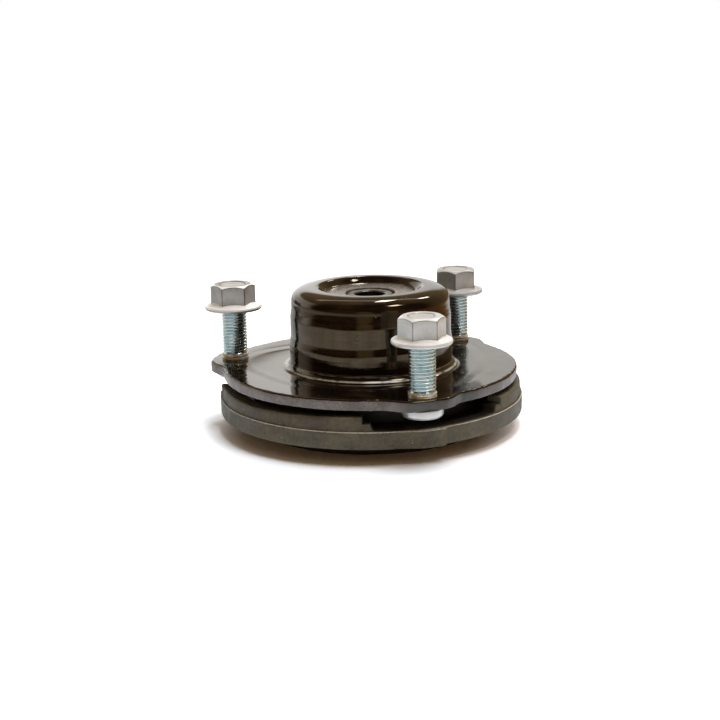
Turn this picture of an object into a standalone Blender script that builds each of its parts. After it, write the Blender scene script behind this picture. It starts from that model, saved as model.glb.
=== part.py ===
"""Strut top plate: a pressed steel dome plate with three studs and flange nuts.

The dome holds a rubber bush round a steel sleeve for the damper rod, a pressed cup
closes it from below, and a rubber ring under the plate seats the coil spring.
Metres, +Z up. The origin is on the strut axis, level with the plate's top face, which
bolts up against the body. The front stud is on -Y.
"""

import math

import bmesh
import bpy

# Clearances
SEAT_GAP = 0.0003
SLEEVE_TO_DOME_GAP = 0.0006
NUT_TO_STUD_GAP = 0.0003
PAD_TO_STUD_HEAD = 0.0007
DISC_TO_CAVITY = 0.0061
CUTTER_REACH = 0.0060

# Studs
STUD_CIRCLE_RADIUS = 0.0533
STUD_ANGLES = {"front": 0.0, "right": 120.0, "left": 240.0}
STUD_THREAD_RADIUS = 0.0048
STUD_SHOULDER = 0.00065
STUD_SHANK_RADIUS = STUD_THREAD_RADIUS + STUD_SHOULDER
STUD_COLLAR_HEIGHT = 0.0023
STUD_GROOVE_DEPTH = 0.0004
STUD_GROOVE_WIDTH = 0.0005
STUD_LENGTH = 0.0288
STUD_END_CHAMFER = 0.0007
STUD_HEAD_OVERHANG = 0.00155
STUD_HEAD_RADIUS = STUD_SHANK_RADIUS + STUD_HEAD_OVERHANG
STUD_HEAD_THICKNESS = 0.0026
STUD_HEAD_EDGE = 0.0005

# Flange nuts
NUT_HEIGHT = 0.0098
NUT_PAST_STUD = 0.0002
NUT_LIFT = STUD_LENGTH + NUT_PAST_STUD - NUT_HEIGHT
NUT_FLATS = 0.0150
NUT_CORNER_RADIUS = NUT_FLATS / math.sqrt(3.0)
NUT_FLANGE_OVERHANG = 0.00234
NUT_FLANGE_RADIUS = NUT_CORNER_RADIUS + NUT_FLANGE_OVERHANG
NUT_FLANGE_EDGE = 0.0014
NUT_FLANGE_RISE = 0.0013
NUT_FLANGE_ROUND = 0.00035
NUT_BORE_CHAMFER = 0.0006
NUT_FACE_INSET = 0.0004
NUT_FACE_RADIUS = NUT_FLATS / 2 - NUT_FACE_INSET
NUT_TOP_CHAMFER = 0.0010
NUT_TURNS = {"front": -13.0, "right": 7.0, "left": -14.0}

# Rod sleeve
SLEEVE_RADIUS = 0.0088
SLEEVE_BORE_RADIUS = 0.0058
SLEEVE_BELOW_DISH = 0.00045
SLEEVE_LENGTH = 0.0420
SLEEVE_CHAMFER = 0.0005

# Pressed plate and its dome
PLATE_THICKNESS = 0.0039
PLATE_PAST_STUDS = 0.0022
PLATE_RADIUS = STUD_CIRCLE_RADIUS + PLATE_PAST_STUDS
PLATE_LOBE_WALL = 0.00095
PLATE_LOBE_RISE = STUD_SHANK_RADIUS + SEAT_GAP + PLATE_LOBE_WALL - PLATE_PAST_STUDS
PLATE_LOBE_HALF_ANGLE = 18.0
DISH_FLOOR_WIDTH = 0.0047
DISH_SLOPE_WIDTH = 0.0065
DISH_DEPTH = 0.0025
DISH_RADIUS = SLEEVE_RADIUS + DISH_FLOOR_WIDTH
CREST_RADIUS = DISH_RADIUS + DISH_SLOPE_WIDTH
CREST_HEIGHT = 0.0303
SHOULDER_WIDTH = 0.0110
SHOULDER_DROP = 0.0073
SHOULDER_POWER = 3.3
DOME_RADIUS = CREST_RADIUS + SHOULDER_WIDTH
DOME_FOOT_FILLET = 0.0040
DOME_INNER_CORNER = 0.0030

# Load disc on the sleeve
DISC_THICKNESS = 0.0030
DISC_LIFT = 0.0035

# Rubber ring
BAND_PAST_PLATE = 0.0021
BAND_RADIUS = PLATE_RADIUS + BAND_PAST_PLATE
BAND_THICKNESS = 0.0066
BAND_LOBE_RISE = 0.0012
BAND_LOBE_HALF_ANGLE = 14.0
ARC_INSET = 0.0006
ARC_RADIUS = BAND_RADIUS - ARC_INSET
ARC_WALL = 0.0062
ARC_HEIGHT = 0.0050
ARC_ROOT_DEPTH = 0.0022
ARC_END_ANGLE = 26.0
ARC_STEP_ANGLE = 3.5
ARC_STEP_HEIGHT = 0.0027
ARC_TO_PLATE = 0.0020
PAD_RADIUS = STUD_CIRCLE_RADIUS - STUD_HEAD_RADIUS - PAD_TO_STUD_HEAD
PAD_WIDTH = 0.0045
NECK_LEDGE_WIDTH = 0.0036
NECK_WALL = 0.0095
NECK_DROP = 0.0060
RING_TURN = 3.0
RING_EDGE = 0.0006

# Pressed cup under the dome
CUP_THICKNESS = 0.0025
CUP_FLANGE_RADIUS = PAD_RADIUS - PAD_WIDTH - SEAT_GAP
CUP_HOLE_RADIUS = 0.0150
CUP_CORNER = 0.0030
CUP_FLOOR_BEVEL = 0.00125

# Rubber cushions
CUSHION_WAIST = 0.0022
CUSHION_LIP = 0.0030

# Levels and radii, worked out from the sizes above
PLATE_TOP = 0.0
PLATE_BOTTOM = PLATE_TOP - PLATE_THICKNESS
ARC_TOP = PLATE_BOTTOM - ARC_TO_PLATE
BAND_TOP = ARC_TOP - ARC_HEIGHT
BAND_BOTTOM = BAND_TOP - BAND_THICKNESS
NECK_BOTTOM = BAND_BOTTOM - NECK_DROP
CREST_TOP = PLATE_TOP + CREST_HEIGHT
DISH_TOP = CREST_TOP - DISH_DEPTH
SHOULDER_FOOT = CREST_TOP - SHOULDER_DROP
SLEEVE_TOP = DISH_TOP - SLEEVE_BELOW_DISH
SLEEVE_FOOT = SLEEVE_TOP - SLEEVE_LENGTH
DISC_BOTTOM = PLATE_TOP + DISC_LIFT
DISC_TOP = DISC_BOTTOM + DISC_THICKNESS
CAVITY_RADIUS = DOME_RADIUS - PLATE_THICKNESS
CAVITY_TOP = DISH_TOP - PLATE_THICKNESS
DISC_RADIUS = CAVITY_RADIUS - DISC_TO_CAVITY
CUP_FLANGE_TOP = PLATE_BOTTOM - SEAT_GAP
CUP_FLANGE_BOTTOM = CUP_FLANGE_TOP - CUP_THICKNESS
CUP_BOTTOM = BAND_BOTTOM
CUP_FLOOR = CUP_BOTTOM + CUP_THICKNESS
CUP_WALL_RADIUS = CAVITY_RADIUS + CUP_THICKNESS
NECK_BORE_RADIUS = CUP_WALL_RADIUS + SEAT_GAP + NECK_LEDGE_WIDTH
NECK_RADIUS = NECK_BORE_RADIUS + NECK_WALL

ROUND_STEPS = 60
CUP_STEPS = 48
INNER_STEPS = 36
SMALL_STEPS = 24
HEX_SIDES = 6
OUTLINE_STEPS = 90
OUTLINE_PHASE = 0.25


def clear_scene():
    for item in list(bpy.data.objects):
        bpy.data.objects.remove(item, do_unlink=True)


def make_collection(name):
    group = bpy.data.collections.new(name)
    bpy.context.scene.collection.children.link(group)
    return group


def make_material(name, colour, roughness, metallic):
    finish = bpy.data.materials.new(name)
    finish.use_nodes = True
    shader = finish.node_tree.nodes["Principled BSDF"]
    shader.inputs["Base Color"].default_value = (*colour, 1.0)
    shader.inputs["Roughness"].default_value = roughness
    shader.inputs["Metallic"].default_value = metallic
    finish.diffuse_color = (*colour, 1.0)
    return finish


def add_object(name, mesh, group, finish=None):
    item = bpy.data.objects.new(name, mesh)
    group.objects.link(item)
    if finish is not None:
        mesh.materials.clear()
        mesh.materials.append(finish)
    return item


def hide_as_cutter(item):
    item.hide_render = True
    item.display_type = "WIRE"
    return item


def arc(centre_r, centre_z, size_r, size_z, start, end, count):
    """Points on an ellipse arc; angles in degrees from +R towards +Z."""
    points = []
    for step in range(count + 1):
        angle = math.radians(start + (end - start) * step / count)
        points.append((centre_r + size_r * math.cos(angle), centre_z + size_z * math.sin(angle)))
    return points


def turned(name, profile, group, finish=None, steps=ROUND_STEPS, closed=True):
    """A profile of (radius, height) points turned about Z."""
    mesh = bpy.data.meshes.new(name)
    shape = bmesh.new()
    corners = [shape.verts.new((radius, 0.0, height)) for radius, height in profile]
    for first, second in zip(corners, corners[1:]):
        shape.edges.new((first, second))
    if closed:
        shape.edges.new((corners[-1], corners[0]))
    shape.to_mesh(mesh)
    shape.free()
    item = add_object(name, mesh, group, finish)
    screw = item.modifiers.new("turn", "SCREW")
    screw.axis = "Z"
    screw.steps = steps
    screw.render_steps = steps
    screw.use_merge_vertices = True
    screw.merge_threshold = 0.00001
    screw.use_smooth_shade = True
    return item


def bake(item):
    """The object's mesh with its modifiers or its curve turned into faces."""
    bpy.context.view_layer.update()
    graph = bpy.context.evaluated_depsgraph_get()
    mesh = bpy.data.meshes.new_from_object(item.evaluated_get(graph))
    shape = bmesh.new()
    shape.from_mesh(mesh)
    bmesh.ops.remove_doubles(shape, verts=shape.verts, dist=0.000001)
    shape.to_mesh(mesh)
    shape.free()
    return mesh


def slab(name, outline, bottom, top, group):
    """A flat outline of (x, y) points, given a thickness from bottom to top."""
    curve = bpy.data.curves.new(name, "CURVE")
    curve.dimensions = "2D"
    curve.fill_mode = "BOTH"
    curve.extrude = (top - bottom) / 2
    spline = curve.splines.new("POLY")
    spline.points.add(len(outline) - 1)
    for point, (x, y) in zip(spline.points, outline):
        point.co = (x, y, 0.0, 1.0)
    spline.use_cyclic_u = True
    flat = bpy.data.objects.new(name + "_outline", curve)
    group.objects.link(flat)
    flat.location.z = (top + bottom) / 2
    mesh = bake(flat)
    item = add_object(name, mesh, group)
    item.matrix_world = flat.matrix_world
    bpy.data.objects.remove(flat, do_unlink=True)
    return hide_as_cutter(item)


def combine(item, other, operation):
    cut = item.modifiers.new(operation.lower() + "_" + other.name, "BOOLEAN")
    cut.operation = operation
    cut.solver = "EXACT"
    cut.object = other
    return item


def polar(radius, degrees):
    """A point in plan; the angle runs from -Y towards +X."""
    angle = math.radians(degrees)
    return radius * math.sin(angle), -radius * math.cos(angle)


def from_nearest_stud(degrees, turn):
    studs = STUD_ANGLES.values()
    return min(abs((degrees - stud - turn + 180.0) % 360.0 - 180.0) for stud in studs)


def lobed_outline(radius, rise, half_angle, turn=0.0):
    """A round outline that swells out past each stud; no corner lies on a turned edge."""
    points = []
    for step in range(OUTLINE_STEPS):
        degrees = 360.0 * (step + OUTLINE_PHASE) / OUTLINE_STEPS
        share = min(1.0, from_nearest_stud(degrees, turn) / half_angle)
        swell = rise * math.cos(share * math.pi / 2) ** 2
        points.append(polar(radius + swell, degrees))
    return points


def sector_outline(inner, outer, start, end, step_angle=3.0):
    count = max(2, round((end - start) / step_angle))
    angles = [start + (end - start) * step / count for step in range(count + 1)]
    outside = [polar(outer, angle) for angle in angles]
    inside = [polar(inner, angle) for angle in reversed(angles)]
    return outside + inside


def shoulder_points(count=8):
    """The dome's outer shoulder, from the crest round to the top of the wall."""
    points = []
    for step in range(count + 1):
        angle = math.pi / 2 * step / count
        share_r = math.sin(angle) ** (2.0 / SHOULDER_POWER)
        share_z = math.cos(angle) ** (2.0 / SHOULDER_POWER)
        radius = CREST_RADIUS + SHOULDER_WIDTH * share_r
        points.append((radius, SHOULDER_FOOT + SHOULDER_DROP * share_z))
    return points


def dish_points(count=4):
    """The soft rise from the dish floor to the crest."""
    points = []
    for step in range(count + 1):
        share = step / count
        lift = (1.0 - math.cos(math.pi * share)) / 2
        points.append((DISH_RADIUS + DISH_SLOPE_WIDTH * share, DISH_TOP + DISH_DEPTH * lift))
    return points


def cavity_roof(gap):
    """The underside of the dome, set back by a gap, from the centre out and down the wall."""
    corner = DOME_INNER_CORNER
    wall = CAVITY_RADIUS - gap
    set_back = PLATE_THICKNESS + gap
    crest = CREST_TOP - set_back
    points = [(radius, height - set_back) for radius, height in dish_points(3)]
    points += arc(wall - corner, crest - corner, corner, corner, 90.0, 0.0, 3)
    return points


def make_top_plate(parts, cutters, finish):
    sleeve_hole = SLEEVE_RADIUS + SLEEVE_TO_DOME_GAP
    blank = PLATE_RADIUS + PLATE_LOBE_RISE + CUTTER_REACH
    foot = DOME_FOOT_FILLET
    foot_inner = foot + PLATE_THICKNESS
    foot_r = DOME_RADIUS + foot
    outside = [(sleeve_hole, DISH_TOP)]
    outside += dish_points()
    outside += shoulder_points()[1:]
    outside += arc(foot_r, PLATE_TOP + foot, foot, foot, 180.0, 270.0, 4)
    outside.append((blank, PLATE_TOP))
    inside = [(blank, PLATE_BOTTOM)]
    inside += arc(foot_r, PLATE_TOP + foot, foot_inner, foot_inner, 270.0, 180.0, 3)
    inside += list(reversed(cavity_roof(0.0)))
    inside.append((sleeve_hole, CAVITY_TOP))
    plate = turned("top_plate", outside + inside, parts, finish)
    outline = lobed_outline(PLATE_RADIUS, PLATE_LOBE_RISE, PLATE_LOBE_HALF_ANGLE)
    low = PLATE_BOTTOM - CUTTER_REACH
    high = CREST_TOP + CUTTER_REACH
    combine(plate, slab("plate_blank", outline, low, high, cutters), "INTERSECT")
    for place, degrees in STUD_ANGLES.items():
        hole = round_cutter("stud_hole_" + place, STUD_SHANK_RADIUS + SEAT_GAP, cutters)
        x, y = polar(STUD_CIRCLE_RADIUS, degrees)
        hole.location = (x, y, (PLATE_TOP + PLATE_BOTTOM) / 2)
        hole.rotation_euler.z = math.radians(OUTLINE_PHASE * 360.0 / SMALL_STEPS)
        combine(plate, hole, "DIFFERENCE")
    return plate


def round_cutter(name, radius, cutters):
    mesh = bpy.data.meshes.new(name)
    shape = bmesh.new()
    bmesh.ops.create_cone(shape, cap_ends=True, segments=SMALL_STEPS, radius1=radius, radius2=radius,
                          depth=PLATE_THICKNESS + CUTTER_REACH)
    shape.to_mesh(mesh)
    shape.free()
    return hide_as_cutter(add_object(name, mesh, cutters))


def make_stud(place, parts, finish):
    """Head under the plate, shank through it, collar on it and a thread's body above."""
    top = PLATE_TOP + STUD_LENGTH
    collar = PLATE_TOP + STUD_COLLAR_HEIGHT
    groove = (PLATE_TOP + collar) / 2
    groove_low = groove - STUD_GROOVE_WIDTH / 2
    groove_high = groove + STUD_GROOVE_WIDTH / 2
    head_top = PLATE_BOTTOM - SEAT_GAP
    head_bottom = head_top - STUD_HEAD_THICKNESS
    profile = [
        (0.0, top),
        (STUD_THREAD_RADIUS - STUD_END_CHAMFER, top),
        (STUD_THREAD_RADIUS, top - STUD_END_CHAMFER),
        (STUD_THREAD_RADIUS, collar),
        (STUD_SHANK_RADIUS - STUD_GROOVE_DEPTH, collar),
        (STUD_SHANK_RADIUS, collar - STUD_GROOVE_DEPTH),
        (STUD_SHANK_RADIUS, groove_high),
        (STUD_SHANK_RADIUS - STUD_GROOVE_DEPTH, groove),
        (STUD_SHANK_RADIUS, groove_low),
        (STUD_SHANK_RADIUS, head_top),
        (STUD_HEAD_RADIUS, head_top),
        (STUD_HEAD_RADIUS, head_bottom + STUD_HEAD_EDGE),
        (STUD_HEAD_RADIUS - STUD_HEAD_EDGE, head_bottom),
        (0.0, head_bottom),
    ]
    stud = turned("stud_" + place, profile, parts, finish, SMALL_STEPS, closed=False)
    x, y = polar(STUD_CIRCLE_RADIUS, STUD_ANGLES[place])
    stud.location = (x, y, 0.0)
    return stud


def nut_mesh(cutters):
    """A hexagon with turned chamfers, joined to its sloping flange and bored through."""
    corner = NUT_CORNER_RADIUS
    bore = STUD_THREAD_RADIUS + NUT_TO_STUD_GAP
    beyond = NUT_FLANGE_RADIUS
    bar_low = NUT_FLANGE_EDGE / 2
    bar_high = NUT_HEIGHT + NUT_TOP_CHAMFER
    mesh = bpy.data.meshes.new("nut_hexagon")
    shape = bmesh.new()
    bmesh.ops.create_cone(shape, cap_ends=True, segments=HEX_SIDES, radius1=corner, radius2=corner,
                          depth=bar_high - bar_low)
    bmesh.ops.translate(shape, verts=shape.verts, vec=(0.0, 0.0, (bar_high + bar_low) / 2))
    shape.to_mesh(mesh)
    shape.free()
    hexagon = add_object("nut_hexagon", mesh, cutters)
    slope = NUT_TOP_CHAMFER / (corner - NUT_FACE_RADIUS)
    round_over = [
        (0.0, NUT_HEIGHT),
        (NUT_FACE_RADIUS, NUT_HEIGHT),
        (beyond, NUT_HEIGHT - (beyond - NUT_FACE_RADIUS) * slope),
        (beyond, -NUT_HEIGHT),
        (0.0, -NUT_HEIGHT),
    ]
    top_cone = turned("nut_top_cone", round_over, cutters, None, SMALL_STEPS, closed=False)
    combine(hexagon, hide_as_cutter(top_cone), "INTERSECT")
    rim = NUT_FLANGE_ROUND
    skirt_top = NUT_FLANGE_EDGE + NUT_FLANGE_RISE
    flange = [
        (0.0, skirt_top),
        (NUT_FLATS / 2, skirt_top),
        (NUT_FLANGE_RADIUS - rim, NUT_FLANGE_EDGE),
        (NUT_FLANGE_RADIUS, NUT_FLANGE_EDGE - rim),
        (NUT_FLANGE_RADIUS, rim),
        (NUT_FLANGE_RADIUS - rim, 0.0),
        (0.0, 0.0),
    ]
    skirt = turned("nut_skirt", flange, cutters, None, INNER_STEPS, closed=False)
    combine(hexagon, hide_as_cutter(skirt), "UNION")
    drill = [
        (0.0, NUT_HEIGHT + NUT_BORE_CHAMFER),
        (bore + NUT_BORE_CHAMFER * 2, NUT_HEIGHT + NUT_BORE_CHAMFER),
        (bore, NUT_HEIGHT - NUT_BORE_CHAMFER),
        (bore, NUT_BORE_CHAMFER),
        (bore + NUT_BORE_CHAMFER * 2, -NUT_BORE_CHAMFER),
        (0.0, -NUT_BORE_CHAMFER),
    ]
    bore_cutter = turned("nut_bore", drill, cutters, None, SMALL_STEPS, closed=False)
    combine(hexagon, hide_as_cutter(bore_cutter), "DIFFERENCE")
    result = bake(hexagon)
    for used in (hexagon, top_cone, skirt, bore_cutter):
        bpy.data.objects.remove(used, do_unlink=True)
    result.set_sharp_from_angle(angle=math.radians(30.0))
    return result


def make_nuts(parts, cutters, finish):
    mesh = nut_mesh(cutters)
    for place, degrees in STUD_ANGLES.items():
        nut = add_object("flange_nut_" + place, mesh, parts, finish)
        x, y = polar(STUD_CIRCLE_RADIUS, degrees)
        nut.location = (x, y, PLATE_TOP + NUT_LIFT)
        nut.rotation_euler.z = math.radians(NUT_TURNS[place] + 180.0 / HEX_SIDES)


def make_spring_insulator(parts, cutters, finish):
    """A band under the plate with a neck below, an inner pad and raised arcs between the studs."""
    bore = CUP_WALL_RADIUS + SEAT_GAP
    step = CUP_FLANGE_RADIUS + SEAT_GAP
    blank = BAND_RADIUS + BAND_LOBE_RISE + CUTTER_REACH
    section = [
        (bore, CUP_FLANGE_BOTTOM - SEAT_GAP),
        (step, CUP_FLANGE_BOTTOM - SEAT_GAP),
        (step, PLATE_BOTTOM - SEAT_GAP),
        (PAD_RADIUS, PLATE_BOTTOM - SEAT_GAP),
        (PAD_RADIUS, BAND_TOP),
        (blank, BAND_TOP),
        (blank, BAND_BOTTOM),
        (NECK_RADIUS + RING_EDGE, BAND_BOTTOM),
        (NECK_RADIUS, BAND_BOTTOM - RING_EDGE),
        (NECK_RADIUS, NECK_BOTTOM + RING_EDGE),
        (NECK_RADIUS - RING_EDGE, NECK_BOTTOM),
        (NECK_BORE_RADIUS, NECK_BOTTOM),
        (NECK_BORE_RADIUS, BAND_BOTTOM),
        (bore, BAND_BOTTOM),
    ]
    ring = turned("spring_insulator", section, parts, finish)
    outline = lobed_outline(BAND_RADIUS, BAND_LOBE_RISE, BAND_LOBE_HALF_ANGLE, RING_TURN)
    low = NECK_BOTTOM - CUTTER_REACH
    high = PLATE_TOP + CUTTER_REACH
    combine(ring, slab("band_blank", outline, low, high, cutters), "INTERSECT")
    root = BAND_TOP - ARC_ROOT_DEPTH
    inner = ARC_RADIUS - ARC_WALL
    inset = RING_EDGE / 2
    for place, degrees in STUD_ANGLES.items():
        start = degrees + RING_TURN + ARC_END_ANGLE
        end = degrees + RING_TURN + 120.0 - ARC_END_ANGLE
        wall_outline = sector_outline(inner, ARC_RADIUS, start, end)
        wall = slab("arc_wall_" + place, wall_outline, root, ARC_TOP, cutters)
        combine(ring, wall, "UNION")
        start -= ARC_STEP_ANGLE
        end += ARC_STEP_ANGLE
        foot_outline = sector_outline(inner + inset, ARC_RADIUS - inset, start, end)
        foot = slab("arc_foot_" + place, foot_outline, root + inset, BAND_TOP + ARC_STEP_HEIGHT, cutters)
        combine(ring, foot, "UNION")
    return ring


def make_cup(parts, finish):
    """A pressed cup: its flange lies under the plate and its floor carries the lower cushion."""
    corner = CUP_CORNER
    outer = CUP_WALL_RADIUS
    inner = CAVITY_RADIUS
    bevel = CUP_FLOOR_BEVEL
    section = [(CUP_FLANGE_RADIUS, CUP_FLANGE_TOP), (CUP_FLANGE_RADIUS, CUP_FLANGE_BOTTOM)]
    section += [(outer, CUP_FLANGE_BOTTOM)]
    section += arc(outer - corner, CUP_BOTTOM + corner, corner, corner, 0.0, -90.0, 3)
    section += [(CUP_HOLE_RADIUS, CUP_BOTTOM), (CUP_HOLE_RADIUS, CUP_FLOOR)]
    section += [(inner - bevel, CUP_FLOOR), (inner, CUP_FLOOR + bevel)]
    section += arc(inner + corner, CUP_FLANGE_TOP - corner, corner, corner, 180.0, 90.0, 3)
    return turned("retainer_cup", section, parts, finish, CUP_STEPS)


def make_sleeve(parts, finish):
    chamfer = SLEEVE_CHAMFER
    section = [
        (SLEEVE_BORE_RADIUS + chamfer, SLEEVE_TOP),
        (SLEEVE_RADIUS - chamfer, SLEEVE_TOP),
        (SLEEVE_RADIUS, SLEEVE_TOP - chamfer),
        (SLEEVE_RADIUS, SLEEVE_FOOT + chamfer),
        (SLEEVE_RADIUS - chamfer, SLEEVE_FOOT),
        (SLEEVE_BORE_RADIUS + chamfer, SLEEVE_FOOT),
        (SLEEVE_BORE_RADIUS, SLEEVE_FOOT + chamfer),
        (SLEEVE_BORE_RADIUS, SLEEVE_TOP - chamfer),
    ]
    return turned("centre_sleeve", section, parts, finish, INNER_STEPS)


def make_load_disc(parts, finish):
    hole = SLEEVE_RADIUS + SEAT_GAP
    round_r = DISC_THICKNESS / 2
    section = [(hole, DISC_TOP)]
    section += arc(DISC_RADIUS - round_r, DISC_BOTTOM + round_r, round_r, round_r, 90.0, -90.0, 4)
    section += [(hole, DISC_BOTTOM)]
    return turned("load_disc", section, parts, finish, INNER_STEPS)


def make_cushions(parts, finish):
    """Two waisted rubber rings, one on each side of the load disc."""
    hole = SLEEVE_RADIUS + SEAT_GAP
    disc_top = DISC_TOP + SEAT_GAP
    disc_bottom = DISC_BOTTOM - SEAT_GAP
    roof = cavity_roof(SEAT_GAP)
    wall = CAVITY_RADIUS - SEAT_GAP
    roof_edge = roof[-1][1]
    upper = [(hole, CAVITY_TOP - SEAT_GAP)] + roof
    upper += waist(wall, roof_edge, DISC_RADIUS, disc_top)[1:]
    upper += [(hole, disc_top)]
    turned("upper_cushion", upper, parts, finish, INNER_STEPS)
    floor = CUP_FLOOR + SEAT_GAP
    lower = [(hole, disc_bottom)]
    lower += waist(DISC_RADIUS, disc_bottom, wall - CUP_FLOOR_BEVEL, floor + CUSHION_LIP)
    lower += [(wall - CUP_FLOOR_BEVEL, floor), (CUP_HOLE_RADIUS, floor)]
    lower += [(hole, floor + CUSHION_LIP)]
    turned("lower_cushion", lower, parts, finish, INNER_STEPS)


def waist(start_r, start_z, end_r, end_z, count=4):
    """A free rubber side that draws in between its two bonded ends."""
    points = []
    for step in range(count + 1):
        share = step / count
        pull = CUSHION_WAIST * math.sin(math.pi * share)
        points.append((start_r + (end_r - start_r) * share - pull, start_z + (end_z - start_z) * share))
    return points


def build():
    clear_scene()
    parts = make_collection("strut_top_plate")
    cutters = make_collection("cutters")
    paint = make_material("black_paint", (0.020, 0.017, 0.015), 0.15, 0.0)
    zinc = make_material("blue_zinc", (0.55, 0.62, 0.64), 0.30, 1.0)
    flake = make_material("zinc_flake", (0.58, 0.57, 0.55), 0.45, 1.0)
    rubber = make_material("rubber", (0.060, 0.055, 0.045), 0.75, 0.0)
    steel = make_material("bare_steel", (0.50, 0.49, 0.47), 0.35, 1.0)
    make_top_plate(parts, cutters, paint)
    for place in STUD_ANGLES:
        make_stud(place, parts, zinc)
    make_nuts(parts, cutters, flake)
    make_spring_insulator(parts, cutters, rubber)
    make_cup(parts, paint)
    make_sleeve(parts, steel)
    make_load_disc(parts, steel)
    make_cushions(parts, rubber)


build()
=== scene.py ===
"""Looks for the strut top plate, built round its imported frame.

Shapes are in millimetres and degrees, and become metres in make_piece. Materials, lamps and
the camera are in metres. Plan angles run from -Y, where the front stud stands, towards +X.
"""

import math

import bmesh
import bpy
import numpy as np
from mathutils import Matrix, Vector


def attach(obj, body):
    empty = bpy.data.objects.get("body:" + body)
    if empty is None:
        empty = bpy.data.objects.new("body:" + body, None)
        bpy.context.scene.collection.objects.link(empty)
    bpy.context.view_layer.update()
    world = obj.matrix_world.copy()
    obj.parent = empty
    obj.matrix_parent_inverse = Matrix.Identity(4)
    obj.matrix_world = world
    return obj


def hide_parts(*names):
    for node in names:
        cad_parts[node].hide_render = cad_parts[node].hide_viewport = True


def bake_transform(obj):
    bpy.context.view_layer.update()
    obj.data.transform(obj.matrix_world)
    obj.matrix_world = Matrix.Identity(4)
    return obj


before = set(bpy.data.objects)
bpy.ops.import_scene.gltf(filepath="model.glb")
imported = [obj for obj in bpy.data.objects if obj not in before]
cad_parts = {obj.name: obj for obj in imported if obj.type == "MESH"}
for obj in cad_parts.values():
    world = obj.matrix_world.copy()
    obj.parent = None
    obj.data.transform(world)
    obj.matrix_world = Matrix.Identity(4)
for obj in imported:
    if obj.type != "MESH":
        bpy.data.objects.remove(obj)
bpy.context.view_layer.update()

MM = 0.001
TURN = 2 * math.pi

# Sizes repeated from the part
STUD_CIRCLE = 53.3
STUD_DEGREES = {"front": 0.0, "right": 120.0, "left": 240.0}
PLATE_RADIUS = 55.5
PLATE_LOBE_RISE = 4.5
PLATE_BOTTOM = -3.9
WALL_RADIUS = 31.0
SHOULDER_FOOT = 23.0
CREST_TOP = 30.3
DISH_TOP = 27.8
DISH_HOLE = 9.4
ROOF_CREST_RADIUS = 20.0
ROOF_DISH_RADIUS = 13.5
CAVITY_RADIUS = 27.1
BAND_RADIUS = 57.6
BAND_TOP = -10.9
BAND_BOTTOM = -17.5
NECK_RADIUS = 43.0
NECK_BORE = 33.5
NECK_BOTTOM = -23.5
RING_BORE = 29.9
ARC_RADIUS = 57.0
ARC_INNER = 50.8
ARC_HEIGHT = 5.0
ARC_STEP_HEIGHT = 2.7
RING_TURN = 3.0
STUD_TOP = 28.8
NUT_BOTTOM = 19.2
NUT_HEIGHT = 9.8
NUT_FLATS = 15.0
NUT_TURNS = {"front": -13.0, "right": 7.0, "left": -14.0}
SLEEVE_TOP = 27.35
SLEEVE_FOOT = -14.65

# Sizes read from the photo
PLATE_LOBE_TOP = 5.5
PLATE_LOBE_FOOT = 17.0
FOOT_FILLET = 3.2
CREST_RADIUS = 20.4
CREST_POWER = 2.5
WALL_POWER = 4.0
DISH_RADIUS = 17.2
WALL_STEP = 0.46
EDGE_ROLL = 0.7
EDGE_ROLL_COLUMNS = 3
COLLAR_TOP = 1.65
GROOVE_RADIUS = 4.85
SHANK_RADIUS = 5.2
STUD_HEAD = 7.5
STUD_HEAD_BOTTOM = -7.1
BAND_LOBE_RISE = 1.9
ARC_STEP = 4.0
ARC_ENDS = {("front", -1): 26.0, ("front", 1): 33.0, ("right", -1): 26.0, ("right", 1): 26.0,
            ("left", -1): 26.0, ("left", 1): 12.5}
# The left stud leans out a little and stands higher, where the plate is bent up
MOVED = {"front": (0.0, 0.0, 0.0), "right": (0.0, 0.0, 0.0), "left": (-0.45, 0.10, 1.25)}

# One pitch of the M10 thread, from root to crest and back, as shares of the pitch and radii
PITCH = 1.25
THREAD_SHARES = np.array([0.0, 0.09, 0.1275, 0.22, 0.33, 0.42, 0.45, 0.55, 0.58, 0.67, 0.78,
                          0.8725, 0.91])
THREAD_RADII = np.array([4.28, 4.285, 4.33, 4.48, 4.718, 4.912, 4.945, 4.945, 4.912, 4.718, 4.48,
                         4.33, 4.285])
PER_PITCH = len(THREAD_SHARES)
RUN_OUT_RADIUS = 4.65
STUD_END_RADIUS = 4.45
NUT_THREAD_ROOM = 0.10
NUT_TOP_MOUTH = 5.25
NUT_FOOT_MOUTH = 5.75
NUT_TOP_RADIUS = 6.95
NUT_CHAMFER_SLOPE = 0.62
NUT_CORNER_ROUND = 0.55
FLANGE_RADIUS = 11.0
FLANGE_RIM = 1.45

# Dark and light colour of each nut's coating, darker for the right and left nuts as painted
# shade, and the grey of its flange and chamfer, a painted highlight
NUT_LIT_AND_SHADED_TONES = {"front": ((0.61, 0.63, 0.63), (0.77, 0.80, 0.80)),
             "right": ((0.45, 0.47, 0.46), (0.59, 0.61, 0.61)),
             "left": ((0.37, 0.37, 0.36), (0.50, 0.50, 0.49))}
FLANGE_HIGHLIGHT_TONES = {"front": 0.90, "right": 0.55, "left": 0.98}

# The way the photo looks, level with the floor, and other ways as seen from its camera
BEHIND = (0.326, 0.945, 0.0)
LEFT = (-0.945, 0.326, 0.0)
RIGHT = (0.945, -0.326, 0.0)
FRONT_LEFT = (-0.470, -0.882, 0.0)
BACK_LEFT = (-0.190, 0.981, 0.0)
UP = (0.0, 0.0, 1.0)

# Worked out from the photo: lens in millimetres, yaw, pitch and roll in degrees, place in metres
FOCAL_LENGTH = 77.53
SENSOR_WIDTH = 36.0
CAMERA_TURNS = (-19.03, 13.55, -1.13)
CAMERA_PLACE = (-0.19233, -0.54436, 0.1405)

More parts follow.
